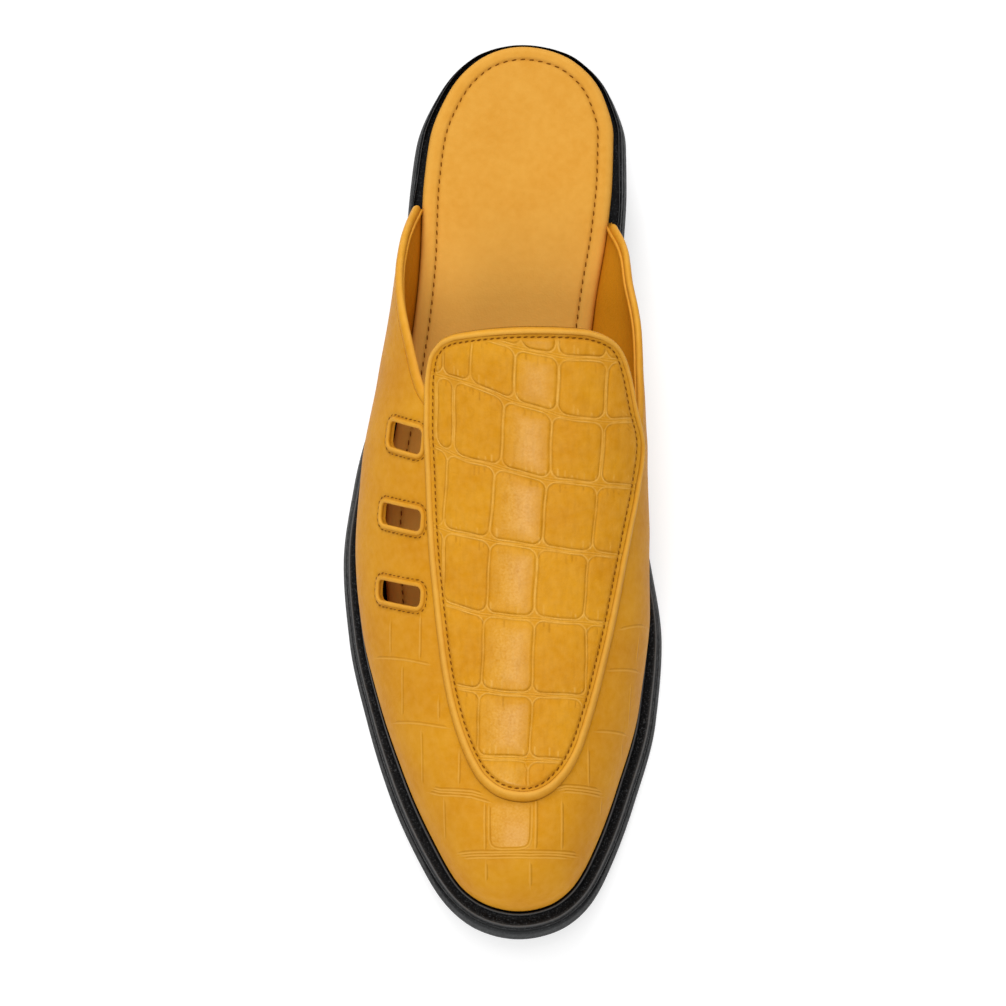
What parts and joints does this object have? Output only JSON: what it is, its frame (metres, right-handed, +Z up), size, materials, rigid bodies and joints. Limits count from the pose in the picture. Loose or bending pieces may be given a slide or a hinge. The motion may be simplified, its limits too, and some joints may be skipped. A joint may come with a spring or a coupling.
{
  "type": "loafer mule",
  "caption": "Backless leather loafer mule for the right foot, with a scale-embossed apron, side slots, welted sole and low block heel.",
  "frame": {"origin": "on the floor under the middle of the shoe's box", "axes": "+Z up, toe towards -Y, big-toe side towards +X"},
  "size_m": [0.0952, 0.27, 0.091],
  "materials": {
    "upper_leather": "mustard calf leather, scale-embossed, satin",
    "footbed_leather": "smooth mustard leather, satin",
    "welt_rubber": "black, finely pebbled",
    "sole_rubber": "black, matt"
  },
  "bodies": {
    "root": {"outsole": "sole_rubber", "heel": "sole_rubber", "welt": "welt_rubber", "insole": "footbed_leather", "upper": "upper_leather", "apron": "upper_leather", "apron_roll": "upper_leather", "topline_lateral": "upper_leather", "topline_medial": "upper_leather"}
  },
  "joints": []
}
